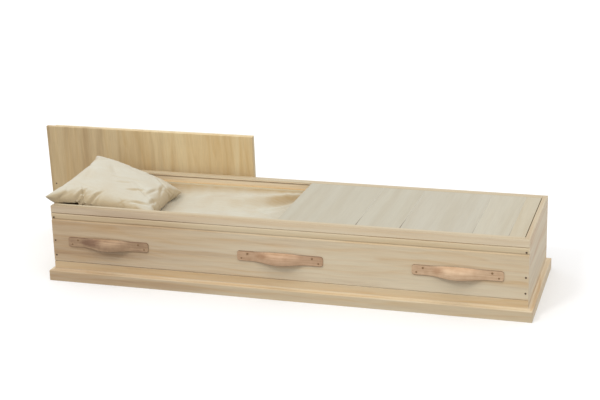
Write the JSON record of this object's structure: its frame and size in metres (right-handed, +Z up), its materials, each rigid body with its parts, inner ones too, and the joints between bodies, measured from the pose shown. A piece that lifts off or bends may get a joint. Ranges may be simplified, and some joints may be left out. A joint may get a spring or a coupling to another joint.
{
  "type": "wooden casket",
  "caption": "Rectangular wooden casket on a plinth, half its lid in place and half stood behind, with leather strap handles, a cloth lining and a pillow.",
  "frame": {"origin": "middle of the underside, on the bottom board", "axes": "+X towards the foot end, -Y towards the front long side, +Z up"},
  "size_m": [2.325, 0.6954, 0.5006],
  "materials": {
    "pine": "bare sanded softwood",
    "foot_lid_wood": "bare pale wood, grain across",
    "head_lid_wood": "bare warm wood, grain across",
    "plywood": "bare plywood",
    "leather": "vegetable tanned, matt",
    "screw": "dark bronzed steel",
    "lining_cloth": "unbleached calico cotton",
    "pillow_cloth": "unbleached calico cotton"
  },
  "bodies": {
    "root": {"bottom_board": "plywood", "end_foot": "pine", "end_head": "pine", "foot_lid_core": "head_lid_wood", "foot_lid_plank_1": "foot_lid_wood", "foot_lid_plank_2": "foot_lid_wood", "foot_lid_plank_3": "foot_lid_wood", "foot_lid_plank_4": "foot_lid_wood", "foot_lid_plank_5": "foot_lid_wood", "handle_front_foot": "leather", "handle_front_foot_screw_left_lower": "screw", "handle_front_foot_screw_left_upper": "screw", "handle_front_foot_screw_right_lower": "screw", "handle_front_foot_screw_right_upper": "screw", "handle_front_head": "leather", "handle_front_head_screw_left_lower": "screw", "handle_front_head_screw_left_upper": "screw", "handle_front_head_screw_right_lower": "screw", "handle_front_head_screw_right_upper": "screw", "handle_front_middle": "leather", "handle_front_middle_screw_left_lower": "screw", "handle_front_middle_screw_left_upper": "screw", "handle_front_middle_screw_right_lower": "screw", "handle_front_middle_screw_right_upper": "screw", "handle_rear_foot": "leather", "handle_rear_foot_screw_left_lower": "screw", "handle_rear_foot_screw_left_upper": "screw", "handle_rear_foot_screw_right_lower": "screw", "handle_rear_foot_screw_right_upper": "screw", "handle_rear_head": "leather", "handle_rear_head_screw_left_lower": "screw", "handle_rear_head_screw_left_upper": "screw", "handle_rear_head_screw_right_lower": "screw", "handle_rear_head_screw_right_upper": "screw", "handle_rear_middle": "leather", "handle_rear_middle_screw_left_lower": "screw", "handle_rear_middle_screw_left_upper": "screw", "handle_rear_middle_screw_right_lower": "screw", "handle_rear_middle_screw_right_upper": "screw", "head_lid_core": "head_lid_wood", "head_lid_plank_1": "head_lid_wood", "head_lid_plank_2": "head_lid_wood", "head_lid_plank_3": "head_lid_wood", "head_lid_plank_4": "head_lid_wood", "head_lid_plank_5": "head_lid_wood", "ledge_foot": "pine", "ledge_front": "pine", "ledge_head": "pine", "ledge_rear": "pine", "lining": "lining_cloth", "pillow": "pillow_cloth", "plinth_foot": "pine", "plinth_front": "pine", "plinth_head": "pine", "plinth_rear": "pine", "rail_front": "pine", "rail_rear": "pine", "side_front": "pine", "side_rear": "pine"}
  },
  "joints": []
}
